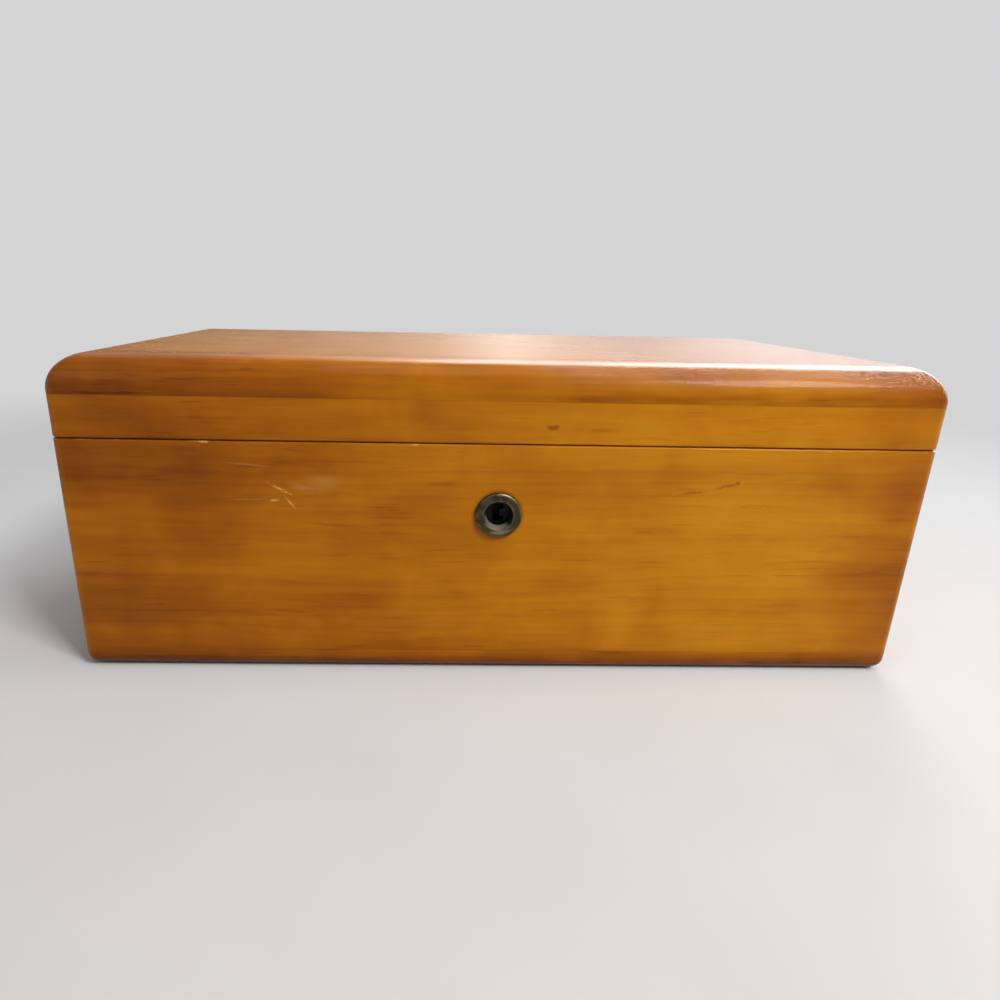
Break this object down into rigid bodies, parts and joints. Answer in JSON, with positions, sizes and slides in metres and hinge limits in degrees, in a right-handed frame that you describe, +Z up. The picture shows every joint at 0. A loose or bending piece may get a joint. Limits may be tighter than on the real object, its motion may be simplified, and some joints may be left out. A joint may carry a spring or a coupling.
{
  "type": "hinged keepsake chest",
  "caption": "Small varnished cedar chest with rounded top edges, a lid hinged at the back and a round brass key lock in the front.",
  "frame": {"origin": "centre of the overall bounding box, on the surface that the chest stands on", "axes": "+X along the length, to the right of someone who faces the lock; +Y from the front to the hinged back; +Z up"},
  "size_m": [0.235, 0.1218, 0.0889],
  "materials": {
    "cedar": "glossy clear varnish",
    "brass": "satin",
    "aged_brass": "dull, tarnished",
    "steel": "satin"
  },
  "bodies": {
    "chest": {"bottom_board": "cedar", "front_board": "cedar", "back_board": "cedar", "left_end_board": "cedar", "right_end_board": "cedar", "chest_hinge_leaves": "brass", "hinge_pins": "brass", "chest_hinge_screws": "brass", "lock_barrel": "aged_brass", "lock_plate": "brass", "lock_case": "brass", "lock_plate_screws": "brass", "lock_guide_pins": "steel", "bolt_spring": "steel"},
    "lid": {"lid_top_board": "cedar", "lid_front_rail": "cedar", "lid_back_rail": "cedar", "lid_left_rail": "cedar", "lid_right_rail": "cedar", "lid_hinge_leaves": "brass", "lid_hinge_screws": "brass", "catch_plate": "brass", "catch_lugs": "steel", "catch_screws": "brass"},
    "plug": {"key_plug": "aged_brass"},
    "bolt": {"lock_bolt": "steel"}
  },
  "joints": [
    {"name": "lid_hinge", "type": "hinge", "parent": "chest", "child": "lid", "pos_m": [0, 0.05833, 0.0676], "axis": [-1, 0, 0], "range_deg": [0, 100]},
    {"name": "key_turn", "type": "hinge", "parent": "chest", "child": "plug", "pos_m": [0, -0.0548, 0.04813], "axis": [0, 1, 0], "range_deg": [0, 90]},
    {"name": "bolt_slide", "type": "slide", "parent": "chest", "child": "bolt", "axis": [1, 0, 0], "range_m": [0, 0.00509]}
  ],
  "couplings": [
    {"joint": "key_turn", "follows": "bolt_slide", "rad_per_m": 308.53}
  ]
}
